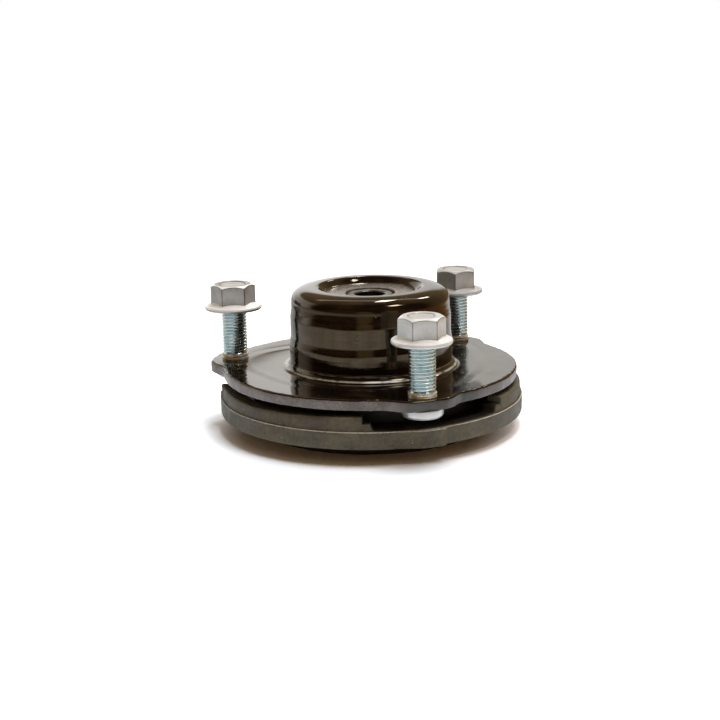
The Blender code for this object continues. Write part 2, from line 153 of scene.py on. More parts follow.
# Name, place, width, depth, watts, and whether the lamp shows in reflections
LAMPS = (
    ("back_high_soft_box", (0.295, 0.574, 0.853), 0.085, 0.24, 1.1, True),
    ("back_high_fill", (0.272, 0.582, 0.853), 0.18, 0.26, 2.3, False),
    ("overhead_soft_box", (0.17, 0.0, 1.25), 0.50, 0.45, 12.0, False),
    ("back_right_soft_box", (0.625, 0.506, 0.750), 0.11, 0.14, 0.7, True),
    ("front_right_soft_box", (0.34, -0.48, 1.05), 0.26, 0.20, 2.6, True))

FLOOR_HALF = 1500.0
FLOOR_GAP = 0.02
# From the middle of the shadow to the part's axis, in metres
SHADOW_TO_AXIS = (0.0078, 0.0100, 0.0)


def smooth(share):
    share = np.clip(share, 0.0, 1.0)
    return share * share * (3 - 2 * share)


def ease(share):
    """Half a cosine wave, up from 0 to 1."""
    return (1 - math.cos(math.pi * share)) / 2


def ramp(value, start, end):
    return np.clip((value - start) / (end - start), 0.0, 1.0)


def waves(degrees, seed, harmonics, size):
    """A closed wobble round the part, the same on every run."""
    rng = np.random.default_rng(seed)
    total = np.zeros_like(degrees, dtype=float)
    for harmonic in harmonics:
        total += rng.normal() * np.sin(harmonic * np.radians(degrees) + rng.uniform(0, TURN))
    return size * total / math.sqrt(len(harmonics))


def turned_from(degrees, centre):
    """Degrees past one plan angle, from -180 to 180."""
    return (np.asarray(degrees) - centre + 180.0) % 360.0 - 180.0


def near(degrees, centre, width):
    """A soft hump round one plan angle."""
    return np.exp(-(turned_from(degrees, centre) / width) ** 2)


def lobe(degrees, top, foot):
    """1 within top degrees of each stud, falling smoothly to 0 at foot degrees."""
    from_stud = np.abs((degrees + 60.0) % 120.0 - 60.0)
    return 1.0 - smooth((from_stud - top) / (foot - top))


def ring_degrees_from(degrees, place):
    """Degrees past one stud on the ring, which is turned a little."""
    return turned_from(degrees, STUD_DEGREES[place] + RING_TURN)


def round_path(corners, count=4, closed=False):
    """A section with its corners rounded by arcs of count steps. A corner is (r, z, radius) or
    (r, z, radius, points to add before the next corner)."""
    points = []
    total = len(corners)
    for index, corner in enumerate(corners):
        here = np.array(corner[:2], float)
        radius = corner[2]
        at_end = not closed and index in (0, total - 1)
        if radius > 0 and not at_end:
            before = np.array(corners[index - 1][:2]) - here
            after = np.array(corners[(index + 1) % total][:2]) - here
            # Less than half of the shorter side, so that two arcs never meet
            room = min(np.linalg.norm(before), np.linalg.norm(after)) * 0.47
            before = before / np.linalg.norm(before)
            after = after / np.linalg.norm(after)
            half = math.acos(float(np.clip(before @ after, -0.9999, 0.9999))) / 2
            reach = min(radius / math.tan(half), room)
            radius = reach * math.tan(half)
            middle = before + after
            straight = np.linalg.norm(middle) < 1e-4
            if straight:
                points += [here] * (count + 1)
            else:
                centre = here + middle / np.linalg.norm(middle) * radius / math.sin(half)
                first = here + before * reach - centre
                last = here + after * reach - centre
                sweep = math.pi - 2 * half
                for step in range(count + 1):
                    share = step / count
                    mixed = math.sin((1 - share) * sweep) * first + math.sin(share * sweep) * last
                    points.append(centre + mixed / math.sin(sweep))
        else:
            points.append(here)
        if len(corner) > 3:
            start = points[-1]
            end = np.array(corners[(index + 1) % total][:2], float)
            for step in range(corner[3]):
                points.append(start + (end - start) * (step + 1) / (corner[3] + 1.6))
    return np.array(points)


def arc(centre_r, centre_z, radius, degrees):
    return [(centre_r + radius * math.cos(angle), centre_z + radius * math.sin(angle))
            for angle in np.radians(degrees)]


def spread_evenly(points, count):
    points = np.array(points, float)
    along = np.concatenate([[0], np.cumsum(np.linalg.norm(np.diff(points, axis=0), axis=1))])
    wanted = np.linspace(0, along[-1], count)
    return np.stack([np.interp(wanted, along, points[:, axis]) for axis in (0, 1)], 1)


def around(degrees, radius, height, centre=(0.0, 0.0)):
    """Points (rows, columns, 3) from plan angles and a radius and height for each column."""
    angle = np.radians(degrees)[:, None]
    x = centre[0] + radius * np.sin(angle)
    y = centre[1] - radius * np.cos(angle)
    return np.stack([x, y, height + 0 * x], -1)


def in_rows(values, rows):
    """The same row of values, rows times."""
    return np.repeat(values[None, :], rows, 0)


def quads(i, j, next_i, next_j, columns):
    """Faces between the grid rows i and next_i and the columns j and next_j."""
    here, after = i * columns, next_i * columns
    corners = (here + j, here + next_j, after + next_j, after + j)
    return np.stack(np.broadcast_arrays(*corners), -1).reshape(-1, 4)


def grid_faces(rows, first, last, columns, closed=False):
    """Quads between the columns first to last of a grid that closes on itself row by row."""
    i = np.arange(rows)[:, None]
    j = np.arange(first, last)[None, :]
    next_j = (j + 1) % columns if closed else j + 1
    return quads(i, j, (i + 1) % rows, next_j, columns)


def add_object(name, data):
    item = bpy.data.objects.new(name, data)
    bpy.context.scene.collection.objects.link(item)
    return item


def make_piece(name, points, faces, finishes, zones=None, caps=(), sharp=40.0):
    """A mesh object; zones is the number of each face's finish, sharp an angle in degrees."""
    mesh = bpy.data.meshes.new(name)
    loops = faces.tolist() + [list(cap) for cap in caps]
    mesh.from_pydata((np.asarray(points).reshape(-1, 3) * MM).tolist(), [], loops)
    for finish in finishes:
        mesh.materials.append(finish)
    if zones is not None:
        mesh.polygons.foreach_set("material_index", np.asarray(zones, np.int32))
    shape = bmesh.new()
    shape.from_mesh(mesh)
    bmesh.ops.remove_doubles(shape, verts=shape.verts, dist=2e-6)
    bmesh.ops.dissolve_degenerate(shape, edges=shape.edges, dist=1e-6)
    bmesh.ops.recalc_face_normals(shape, faces=shape.faces)
    shape.to_mesh(mesh)
    shape.free()
    mesh.shade_smooth()
    mesh.set_sharp_from_angle(angle=math.radians(sharp))
    return add_object(name, mesh)


def lathe(name, path, finish, rows=96):
    """A plain turned piece from a closed path of (r, z) points."""
    degrees = np.arange(rows) * 360.0 / rows
    points = around(degrees, path[None, :, 0], path[None, :, 1])
    faces = grid_faces(rows, 0, len(path), len(path), closed=True)
    return make_piece(name, points, faces, [finish])


class Nodes:
    """Short calls that add nodes to a tree; place is the coordinates that its textures use."""

    def __init__(self, tree, coordinates):
        self.tree = tree
        self.place = self.add("ShaderNodeTexCoord").outputs[coordinates]

    def add(self, kind, **settings):
        node = self.tree.nodes.new(kind)
        for key, value in settings.items():
            setattr(node, key, value)
        return node

    def feed(self, socket, source):
        if isinstance(source, bpy.types.NodeSocket):
            self.tree.links.new(source, socket)
        else:
            socket.default_value = source

    def stretched(self, scale):
        node = self.add("ShaderNodeMapping")
        self.feed(node.inputs["Vector"], self.place)
        node.inputs["Scale"].default_value = scale
        return node.outputs["Vector"]

    def noise(self, scale, detail=3.0, rough=0.55, place=None):
        node = self.add("ShaderNodeTexNoise")
        self.feed(node.inputs["Vector"], place or self.place)
        node.inputs["Scale"].default_value = scale
        node.inputs["Detail"].default_value = detail
        node.inputs["Roughness"].default_value = rough
        return node.outputs["Fac"]

    def cells(self, scale):
        node = self.add("ShaderNodeTexVoronoi")
        self.feed(node.inputs["Vector"], self.place)
        node.inputs["Scale"].default_value = scale
        return node.outputs["Distance"]

    def span(self, source, low, high, to_low=0.0, to_high=1.0):
        """A smooth step from to_low at low to to_high at high; low may be the greater."""
        node = self.add("ShaderNodeMapRange", interpolation_type="SMOOTHSTEP")
        self.feed(node.inputs["Value"], source)
        limits = {"From Min": low, "From Max": high, "To Min": to_low, "To Max": to_high}
        for key, value in limits.items():
            node.inputs[key].default_value = value
        return node.outputs["Result"]

    def maths(self, operation, first, second):
        node = self.add("ShaderNodeMath", operation=operation)
        self.feed(node.inputs[0], first)
        self.feed(node.inputs[1], second)
        return node.outputs[0]

    def product(self, first, *others):
        for other in others:
            first = self.maths("MULTIPLY", first, other)
        return first

    def total(self, first, *others):
        for other in others:
            first = self.maths("ADD", first, other)
        return first

    def part(self, axis):
        node = self.add("ShaderNodeSeparateXYZ")
        self.feed(node.inputs[0], self.place)
        return node.outputs[axis]

    def vector(self, operation, first, second):
        node = self.add("ShaderNodeVectorMath", operation=operation)
        self.feed(node.inputs[0], first)
        node.inputs[1].default_value = second
        return node

    def distance(self, place=None):
        """How far the place is from the part's origin."""
        node = self.add("ShaderNodeVectorMath", operation="LENGTH")
        self.feed(node.inputs[0], place or self.place)
        return node.outputs["Value"]

    def from_axis(self):
        """How far the place is from the part's axis."""
        return self.distance(self.vector("MULTIPLY", self.place, (1.0, 1.0, 0.0)).outputs["Vector"])

    def toward(self, direction, low, high, to_low=0.0, to_high=1.0):
        """How far the place lies towards a direction, as a smooth step between two values."""
        along = self.vector("DOT_PRODUCT", self.place, direction).outputs["Value"]
        return self.span(along, low, high, to_low, to_high)

    def mix(self, amount, first, second):
        node = self.add("ShaderNodeMix", data_type="RGBA")
        self.feed(node.inputs["Factor"], amount)
        self.feed(node.inputs[6], (*first, 1.0) if isinstance(first, tuple) else first)
        self.feed(node.inputs[7], (*second, 1.0) if isinstance(second, tuple) else second)
        return node.outputs[2]

    def bump(self, height, distance, strength, normal=None):
        node = self.add("ShaderNodeBump")
        self.feed(node.inputs["Height"], height)
        node.inputs["Distance"].default_value = distance
        node.inputs["Strength"].default_value = strength
        if normal is not None:
            self.feed(node.inputs["Normal"], normal)
        return node.outputs["Normal"]


class Finish(Nodes):
    """A material with one principled shader."""

    def __init__(self, name, **values):
        self.material = bpy.data.materials.new(name)
        self.material.use_nodes = True
        super().__init__(self.material.node_tree, "Object")
        self.shader = self.tree.nodes["Principled BSDF"]
        for socket, value in values.items():
            self.shader.inputs[socket.replace("_", " ")].default_value = value

    def done(self, colour, roughness, normal, metallic=None):
        for key, value in (("Base Color", colour), ("Roughness", roughness), ("Normal", normal),
                           ("Metallic", metallic)):
            if value is not None:
                self.feed(self.shader.inputs[key], value)
        return self.material


def gloss_paint():
    """Dip-painted black, brown where it is thin, with dust specks and soft smears. A dull film
    lies in the dish, and two thin lines at the foot of the dome are painted highlights."""
    skin = Finish("gloss_black_paint", IOR=1.72, Specular_Tint=(1.0, 0.80, 0.54, 1.0))
    height = skin.part("Z")
    radius = skin.from_axis()
    streaks = skin.noise(60, 4.0, 0.6, skin.stretched((1.0, 1.0, 14.0)))
    clouds = skin.noise(70, 4.0, 0.6)
    thin = skin.span(skin.product(streaks, clouds), 0.20, 0.38)
    colour = skin.mix(thin, (0.0045, 0.0030, 0.0020), (0.020, 0.011, 0.005))
    specks = skin.product(skin.span(skin.cells(420), 0.10, 0.05),
                          skin.span(skin.noise(160, 2.0), 0.60, 0.66))
    colour = skin.mix(specks, colour, (0.42, 0.41, 0.39))
    dish = skin.product(skin.span(radius, 0.0180, 0.0155), skin.span(height, 0.0262, 0.0268))
    film = skin.mix(skin.span(skin.noise(500, 4.0, 0.7), 0.35, 0.65),
                    (0.085, 0.075, 0.069), (0.165, 0.147, 0.136))
    colour = skin.mix(dish, colour, film)

    # Two thin lines round the foot of the dome are painted highlights, broken up by stretched noise
    foot_highlight_breakup = skin.noise(240, 4.0, 0.6, skin.stretched((1.0, 1.0, 0.1)))
    line = skin.product(skin.span(height, 0.00030, 0.00050), skin.span(height, 0.00100, 0.00075))
    faint = skin.product(skin.span(height, 0.00195, 0.00205), skin.span(height, 0.00230, 0.00220))
    painted_light = skin.product(skin.total(line, skin.product(faint, 0.5)),
                        skin.span(radius, 0.0360, 0.0350), skin.span(foot_highlight_breakup, 0.36, 0.54, 0.15, 0.9))
    colour = skin.mix(painted_light, colour, (0.38, 0.36, 0.32))
    # The lower line's bright core at the front, left of centre: a painted highlight
    foot_highlight_core = skin.product(
        line, skin.span(skin.part("X"), -0.0165, -0.0100),
        skin.span(skin.part("X"), 0.0015, -0.0025), skin.span(skin.part("Y"), -0.0280, -0.0300),
        skin.span(foot_highlight_breakup, 0.30, 0.50, 0.5, 1.0))
    colour = skin.mix(foot_highlight_core, colour, (0.92, 0.91, 0.88))

    rough = skin.total(skin.span(skin.noise(110, 5.0, 0.65), 0.35, 0.75, 0.04, 0.13),
                       skin.product(dish, 0.20), skin.product(specks, 0.5))
    above_foot = skin.span(height, 0.0010, 0.0050)
    peel = skin.noise(330, 3.0, 0.5)
    lines = skin.noise(140, 5.0, 0.62, skin.stretched((0.35, 0.35, 9.0)))
    uneven = skin.noise(58, 1.0, 0.4, skin.stretched((0.6, 0.6, 1.5)))
    normal = skin.bump(peel, 0.00004, 0.2)
    normal = skin.bump(skin.product(lines, above_foot), 0.00008, 0.26, normal)
    uneven = skin.product(uneven, above_foot, skin.span(height, 0.0250, 0.0215))
    normal = skin.bump(uneven, 0.00070, 0.8, normal)
    return skin.done(colour, rough, normal)


def sheared_edge():
    """The blank's cut edge: paint over torn steel, more torn at the front lobe, and painted dark
    in the stretch of it that faces the dark front of the room, a painted reflection of it."""
    skin = Finish("painted_sheared_edge", IOR=1.7)
    marks = skin.noise(700, 4.0, 0.7, skin.stretched((1.0, 1.0, 0.2)))
    fine = skin.noise(1300, 5.0, 0.75)
    clouds = skin.noise(140, 4.0, 0.65)
    front_lobe = skin.span(skin.part("Y"), -0.0530, -0.0565)
    grain = skin.total(skin.product(marks, skin.product(front_lobe, 0.6)), skin.product(fine, 0.7))
    tone = skin.span(skin.total(grain, clouds), 0.70, 1.35)
    colour = skin.mix(tone, (0.085, 0.069, 0.060), (0.31, 0.258, 0.234))
    # Painted shade: the stretch of edge that faces the dark front of the room, darkened as a
    # painted reflection
    dark = skin.product(skin.span(skin.part("X"), -0.020, -0.004),
                        skin.span(skin.part("X"), 0.034, 0.016))
    colour = skin.mix(dark, colour, skin.mix(tone, (0.008, 0.007, 0.005), (0.036, 0.031, 0.023)))
    crack = skin.span(skin.noise(300, 4.0, 0.7, skin.stretched((1.0, 1.0, 3.0))), 0.345, 0.315)
    colour = skin.mix(skin.product(crack, 0.8), colour, (0.004, 0.003, 0.003))
    rough = skin.span(fine, 0.3, 0.7, 0.26, 0.42)
    return skin.done(colour, rough, skin.bump(grain, 0.00010, 0.35))


def blue_zinc():
    """Blue-passivated zinc: pale crests, painted shade in the thread roots, a golden collar, a
    white head under the plate and a grey end face."""
    skin = Finish("blue_zinc_plate", Metallic=1.0)
    height = skin.part("Z")
    end_face = (0.0281, 0.0284)
    tint = skin.noise(260, 3.0)
    blue = skin.mix(skin.span(tint, 0.35, 0.65), (0.63, 0.80, 0.80), (0.87, 0.94, 0.92))
    # Painted shade: the thread roots darkened, from the thread's start to just under its end
    root_shade = skin.product(skin.span(skin.from_axis(), 0.00475, 0.00440),
                        skin.span(height, 0.0019, 0.0025), skin.span(height, 0.0282, 0.0278))
    colour = skin.mix(skin.product(root_shade, 0.55), blue, (0.24, 0.32, 0.35))
    collar = skin.span(height, 0.0021, 0.0017)
    gold = skin.mix(skin.span(tint, 0.40, 0.52), (0.66, 0.56, 0.32), (0.90, 0.89, 0.85))
    colour = skin.mix(collar, colour, gold)
    head = skin.span(height, -0.0030, -0.0040)
    colour = skin.mix(head, colour, (0.70, 0.72, 0.73))
    colour = skin.mix(skin.span(height, *end_face), colour, (0.52, 0.51, 0.49))
    stain = skin.span(skin.noise(700, 4.0, 0.7), 0.62, 0.75)
    colour = skin.mix(skin.product(stain, 0.4), colour, (0.30, 0.36, 0.36))
    rough = skin.total(skin.span(skin.noise(500, 3.0), 0.3, 0.7, 0.16, 0.28),
                       skin.span(height, *end_face, 0.0, 0.22), skin.product(collar, 0.14))
    metal = skin.product(skin.span(height, 0.0017, 0.0021, 0.70, 1.0),
                         skin.span(height, *end_face, 1.0, 0.4))
    return skin.done(colour, rough, skin.bump(skin.noise(900, 3.0), 0.00002, 0.3), metal)


def zinc_flake(name, dark, light, metal=0.62):
    """The matt silver-grey flake coating of a nut, browner where it is rubbed."""
    skin = Finish("zinc_flake_" + name, Metallic=metal, IOR=1.6)
    grain = skin.noise(2600, 4.0, 0.7)
    patch = skin.noise(240, 3.0, 0.6)
    tone = skin.total(skin.product(grain, 0.45), skin.product(patch, 0.55))
    colour = skin.mix(skin.span(tone, 0.35, 0.65), dark, light)
    rub = skin.span(skin.noise(600, 5.0, 0.75, skin.stretched((1.0, 1.0, 0.4))), 0.64, 0.74)
    colour = skin.mix(skin.product(rub, 0.7), colour, (0.26, 0.22, 0.19))
    rough = skin.span(grain, 0.3, 0.7, 0.32, 0.44)
    return skin.done(colour, rough, skin.bump(grain, 0.00003, 0.4))


def ring_rubber():
    """Moulded rubber: olive-grey bloom, warm and violet patches, dust and small pits, with a
    pale moulding edge round the band, and painted shade in the hollows behind the arcs and on
    their shelf."""
    skin = Finish("moulded_ring_rubber", IOR=1.5)
    height = skin.part("Z")
    radius = skin.from_axis()
    bloom = skin.noise(120, 6.0, 0.65)
    fine = skin.noise(900, 5.0, 0.7)
    around_it = skin.noise(45, 4.0, 0.6, skin.stretched((1.0, 1.0, 3.0)))
    tone = skin.total(skin.product(bloom, 0.5), skin.product(fine, 0.3),
                      skin.product(around_it, 0.3))
    colour = skin.mix(skin.span(tone, 0.40, 0.72), (0.039, 0.031, 0.017), (0.141, 0.125, 0.080))
    warm = skin.span(skin.noise(200, 3.0), 0.55, 0.75)
    colour = skin.mix(skin.product(warm, 0.5), colour, (0.105, 0.072, 0.045))
    dust = skin.product(skin.span(skin.cells(700), 0.16, 0.08),
                        skin.span(skin.noise(260, 2.0), 0.58, 0.64))
    colour = skin.mix(dust, colour, (0.42, 0.40, 0.36))
    violet = skin.span(skin.noise(75, 4.0, 0.6), 0.46, 0.62)
    colour = skin.mix(skin.product(violet, 0.45), colour, (0.094, 0.076, 0.060))
    edge = skin.product(
        skin.span(height, -0.01130, -0.01105), skin.span(height, -0.01080, -0.01088),
        skin.span(fine, 0.35, 0.55, 0.4, 0.9), skin.span(radius, 0.0570, 0.0573))
    colour = skin.mix(edge, colour, (0.55, 0.51, 0.45))
    # Painted shade: the hollow inside the arcs, and all nearer the axis, darkened
    colour = skin.mix(skin.span(radius, 0.0520, 0.0505), colour, (0.012, 0.010, 0.008))
    # Painted shade: the shelf of the half step at each arc's end darkened
    shelf_shade = skin.product(skin.span(height, -0.0076, -0.0080), skin.span(height, -0.0120, -0.0112),
                         skin.span(radius, 0.0566, 0.0558))
    colour = skin.mix(skin.product(shelf_shade, 0.85), colour, (0.014, 0.012, 0.009))
    rough = skin.span(bloom, 0.3, 0.7, 0.45, 0.75)
    normal = skin.bump(fine, 0.00018, 0.6)
    normal = skin.bump(skin.noise(330, 4.0, 0.6), 0.00025, 0.35, normal)
    return skin.done(colour, rough, normal)


def bush_rubber():
    skin = Finish("bush_rubber", IOR=1.5)
    tone = skin.noise(260, 5.0, 0.65)
    colour = skin.mix(skin.span(tone, 0.35, 0.7), (0.018, 0.017, 0.016), (0.055, 0.052, 0.047))
    rough = skin.span(tone, 0.3, 0.7, 0.55, 0.78)
    return skin.done(colour, rough, skin.bump(skin.noise(1300, 4.0), 0.00010, 0.5))


def bare_steel():
    """Turned steel, darker below the sleeve's clean end face: painted shade down its bore."""
    skin = Finish("turned_steel", Metallic=1.0)
    lines = skin.noise(60, 5.0, 0.7, skin.stretched((1.0, 1.0, 60.0)))
    stain = skin.noise(180, 4.0, 0.6)
    colour = skin.mix(skin.span(stain, 0.35, 0.7), (0.16, 0.145, 0.13), (0.40, 0.38, 0.35))
    end_face = skin.span(skin.part("Z"), 0.0266, 0.0271)
    # Painted shade: all but the sleeve's end face darkened, for the dark bore
    colour = skin.mix(end_face, skin.mix(0.75, colour, (0.020, 0.018, 0.016)), colour)
    rough = skin.span(lines, 0.3, 0.7, 0.25, 0.45)
    return skin.done(colour, rough, skin.bump(lines, 0.00005, 0.5))


def white_floor():
    """A floor that keeps the shadow, while a glow that only the camera sees clears the rest to
    white. Its own colour, which the gloss paint mirrors, is cloudy further out, greyer to the
    left and brown to the right, and warm at the part, a painted tint of the cast shadow."""
    skin = Finish("floor_paper", Roughness=1.0, Specular_IOR_Level=0.0,
                  Emission_Color=(1.0, 1.0, 1.0, 1.0))
    far = skin.distance()
    cloud = skin.product(skin.span(skin.noise(22, 4.0, 0.6), 0.36, 0.62),
                         skin.span(far, 0.085, 0.13), 0.55)
    pale = skin.mix(cloud, (0.82, 0.90, 1.0), (0.30, 0.20, 0.16))
    pale = skin.mix(skin.toward(BACK_LEFT, 0.10, 0.20), pale, (0.42, 0.45, 0.48))
    pale = skin.mix(skin.toward(LEFT, 0.10, 0.25), pale, (0.55, 0.58, 0.62))
    # Painted tint of the cast shadow: the floor warm where its shadow falls
    shadow_tint = skin.span(far, 0.069, 0.051)
    pale = skin.mix(shadow_tint, pale, (1.0, 0.80, 0.62))
    pale = skin.mix(skin.toward(RIGHT, 0.14, 0.30), pale, (0.28, 0.15, 0.05))
    skin.feed(skin.shader.inputs["Base Color"], pale)
    from_shadow = skin.distance(skin.vector("ADD", skin.place, SHADOW_TO_AXIS).outputs["Vector"])
    glow = skin.span(from_shadow, 0.049, 0.094)
    camera_ray = skin.add("ShaderNodeLightPath").outputs["Is Camera Ray"]
    skin.feed(skin.shader.inputs["Emission Strength"], skin.product(camera_ray, glow))
    return skin.material


def wall_radius(height):
    """The drawn wall, with two faint steps left by the press's stages."""
    return (WALL_RADIUS - WALL_STEP * ramp(height, 9.6, 12.4)
            - WALL_STEP * ramp(height, 19.6, 22.3))


def plate_profile():
    """The plate's section as a closed loop, and where its wall, flat and sheared edge lie in it."""
    points = [(DISH_HOLE, DISH_TOP - 0.4), (DISH_HOLE + 0.1, DISH_TOP - 0.1),
              (DISH_HOLE + 0.4, DISH_TOP)]
    points += [(r, DISH_TOP) for r in (11.0, 12.4, 14.0, 15.6)]
    for share in np.linspace(0, 1, 15):
        points.append((DISH_RADIUS + (CREST_RADIUS - DISH_RADIUS) * share,
                       DISH_TOP + (CREST_TOP - DISH_TOP) * ease(share)))
    shoulder = []
    reach = float(wall_radius(SHOULDER_FOOT)) - CREST_RADIUS
    rise = CREST_TOP - SHOULDER_FOOT
    for angle in np.linspace(0, math.pi / 2, 400):
        shoulder.append((CREST_RADIUS + reach * math.sin(angle) ** (2 / CREST_POWER),
                         SHOULDER_FOOT + rise * math.cos(angle) ** (2 / WALL_POWER)))
    points += spread_evenly(shoulder, 28).tolist()[1:]
    wall_first = len(points)
    wall_heights = np.linspace(SHOULDER_FOOT, FOOT_FILLET, 54)[1:-1]
    points += [(float(wall_radius(z)), z) for z in wall_heights]
    wall_last = len(points)
    foot_centre = WALL_RADIUS + FOOT_FILLET
    points += arc(foot_centre, FOOT_FILLET, FOOT_FILLET, np.linspace(180, 270, 12))
    flat_first = len(points)
    points += [(r, 0.0) for r in np.linspace(foot_centre + 0.5, PLATE_RADIUS - 1.0, 34)]
    edge_first = len(points)
    points += arc(PLATE_RADIUS - EDGE_ROLL, -EDGE_ROLL, EDGE_ROLL, (75, 55, 35, 15, 0))
    points += [(PLATE_RADIUS, z) for z in (-1.2, -1.7, -2.2, -2.7, -3.2, -3.6)]
    points += [(PLATE_RADIUS - 0.08, PLATE_BOTTOM)]
    edge_last = len(points) - 1
    points += [(r, PLATE_BOTTOM) for r in (54.6, 52.0, 48.0, 43.0, 38.0)]
    inner = FOOT_FILLET - PLATE_BOTTOM
    points += arc(foot_centre, FOOT_FILLET, inner, np.linspace(270, 180, 8))
    points += [(CAVITY_RADIUS, z) for z in (9.0, 14.0, 19.0)]
    roof = CREST_TOP + PLATE_BOTTOM
    points += arc(CAVITY_RADIUS - 3, roof - 3, 3, (0, 22, 45, 68, 90))
    for share in np.linspace(1, 0, 6):
        points.append((ROOF_DISH_RADIUS + (ROOF_CREST_RADIUS - ROOF_DISH_RADIUS) * share,
                       DISH_TOP + (CREST_TOP - DISH_TOP) * ease(share) + PLATE_BOTTOM))
    points.append((DISH_HOLE, DISH_TOP + PLATE_BOTTOM))
    return np.array(points), wall_first, wall_last, flat_first, edge_first, edge_last


def tear_edge(degrees, radius, height, column, edge_first, edge_last):
    """Gives the cut edge its torn lower half, the burr at its foot and an uneven rollover."""
    torn_first = edge_first + EDGE_ROLL_COLUMNS
    on_edge = (column >= torn_first) & (column <= edge_last)
    torn = smooth((-height - 1.6) / 1.6)
    size = 0.030 + 0.060 * near(degrees, 1.0, 15.0)
    tear = waves(degrees, 11, range(24, 110, 7), 1.0) * size
    radius = np.where(on_edge, radius - 0.10 * torn + tear[:, None] * (0.35 + torn), radius)
    burr = np.abs(waves(degrees, 12, range(17, 100, 6), 1.0)) * 0.10
    at_foot = np.exp(-((height - PLATE_BOTTOM) / 0.35) ** 2) * (radius > 54.0)
    height = height - burr[:, None] * at_foot * (column >= edge_first)
    roll = waves(degrees, 13, range(15, 90, 5), 0.05)[:, None]
    on_roll = (column >= edge_first) & (column <= torn_first + 1)
    return radius, np.where(on_roll, height + roll - 0.05, height)


def bend_plate(degrees, radius, height, on_top, from_flat):
    """Presses a crease round the plate's top, and bends the plate up at the left."""
    crease = 40.5 + 6.5 * lobe(degrees, 0.0, 45.0)
    past = radius - crease[:, None]
    pressed = 0.05 * np.exp(-(past / 1.5) ** 2) - 0.035 * np.exp(-((past - 4.0) / 1.3) ** 2)
    pressed = pressed - 0.05 * smooth(past / 5.0)
    sway = 0.02 * waves(degrees, 5, (2, 3, 5), 1.0)[:, None]
    height = np.where(on_top, height + pressed + sway, height)
    raised = (0.95 * near(degrees, 238.0, 42.0) + 0.35 * near(degrees, 320.0, 45.0))[:, None]
    raised = raised * smooth((radius - 36.0) / 20.0)
    tip = 0.40 * smooth((radius - 40.0) / 14.0) - 0.30 * smooth((radius - 54.0) / 8.0)
    raised += near(degrees, 240.0, 15.0)[:, None] * tip
    return height + np.where(from_flat, raised, 0.0)


def draw_wall(degrees, radius, height, on_wall):
    """Lets the wall's steps wander up and down, and gives it fine press lines."""
    drift = waves(degrees, 21, (1, 2, 3, 5, 8), 0.40)[:, None]
    wandered = wall_radius(height + drift * smooth((23.0 - height) / 1.5))
    lines = 0.002 * np.sin(TURN * (height + drift) / 1.9)
    lines = lines + 0.004 * np.sin(TURN * (height - drift) / 3.7)
    fade = smooth((height - 4.0) / 2.0) * smooth((23.0 - height) / 3.0)
    return np.where(on_wall, wandered + lines * fade, radius)


def top_plate(paint, edge_paint):
    rows = 460
    degrees = np.arange(rows) * 360.0 / rows
    path, wall_first, wall_last, flat_first, edge_first, edge_last = plate_profile()
    columns = len(path)
    radius = in_rows(path[:, 0], rows)
    height = in_rows(path[:, 1], rows)
    column = np.arange(columns)[None, :]
    flat = (height < 0.01) & (radius > WALL_RADIUS + FOOT_FILLET + 0.2)

    outward = PLATE_LOBE_RISE * lobe(degrees, PLATE_LOBE_TOP, PLATE_LOBE_FOOT)
    outward += 1.7 * near(degrees, 240.0, 13.0) + 0.8 * near(degrees, 250.0, 30.0)
    outward += waves(degrees, 3, range(9, 40, 4), 0.05)
    radius = np.where(flat, radius + outward[:, None] * smooth((radius - 38.0) / 15.0), radius)
    radius, height = tear_edge(degrees, radius, height, column, edge_first, edge_last)
    on_top = (path[None, :, 1] > -0.01) & flat
    height = bend_plate(degrees, radius, height, on_top, column >= flat_first)
    on_wall = (column >= wall_first) & (column < wall_last)
    radius = draw_wall(degrees, radius, height, on_wall)

    points = around(degrees, radius, height)
    faces = grid_faces(rows, 0, columns, columns, closed=True)
    zones = np.zeros((rows, columns), np.int32)
    zones[:, edge_first + EDGE_ROLL_COLUMNS:edge_last] = 1
    plate = make_piece("pressed_top_plate", points, faces, [paint, edge_paint],
                       zones.reshape(-1), sharp=50.0)
    drills = [drill_stud_hole(plate, place) for place in STUD_DEGREES]
    graph = bpy.context.evaluated_depsgraph_get()
    drilled = bpy.data.meshes.new_from_object(plate.evaluated_get(graph))
    plate.modifiers.clear()
    plate.data = drilled
    for drill in drills:
        bpy.data.objects.remove(drill, do_unlink=True)
    return plate


def stud_centre(place):
    angle = math.radians(STUD_DEGREES[place])
    return (STUD_CIRCLE * math.sin(angle) + MOVED[place][0],
            -STUD_CIRCLE * math.cos(angle) + MOVED[place][1])


def drill_stud_hole(plate, place):
    """Cuts one stud's hole with a Boolean, and gives back its cutter."""
    mesh = bpy.data.meshes.new("drill_" + place)
    shape = bmesh.new()
    radius = (SHANK_RADIUS + 0.06) * MM
    bmesh.ops.create_cone(shape, cap_ends=True, segments=48, radius1=radius, radius2=radius,
                          depth=12 * MM)
    shape.to_mesh(mesh)
    shape.free()
    drill = add_object("drill_" + place, mesh)
    x, y = stud_centre(place)
    drill.location = (x * MM, y * MM, -2 * MM)
    cut = plate.modifiers.new("hole", "BOOLEAN")
    cut.operation = "DIFFERENCE"
    cut.solver = "EXACT"
    cut.object = drill
    bpy.context.view_layer.update()
    return drill


def thread_grid(turn_share, low, high):
    """Heights and radii of a thread's surface, column by column, for each row's share of a turn."""
    first = math.floor(low / PITCH) - 3
    count = math.ceil((high - low) / PITCH) + 6
    shares = (np.arange(first, first + count)[:, None] + THREAD_SHARES[None, :]).reshape(-1)
    height = PITCH * (shares[None, :] + turn_share[:, None])
    return height, in_rows(np.tile(THREAD_RADII, count), len(turn_share))


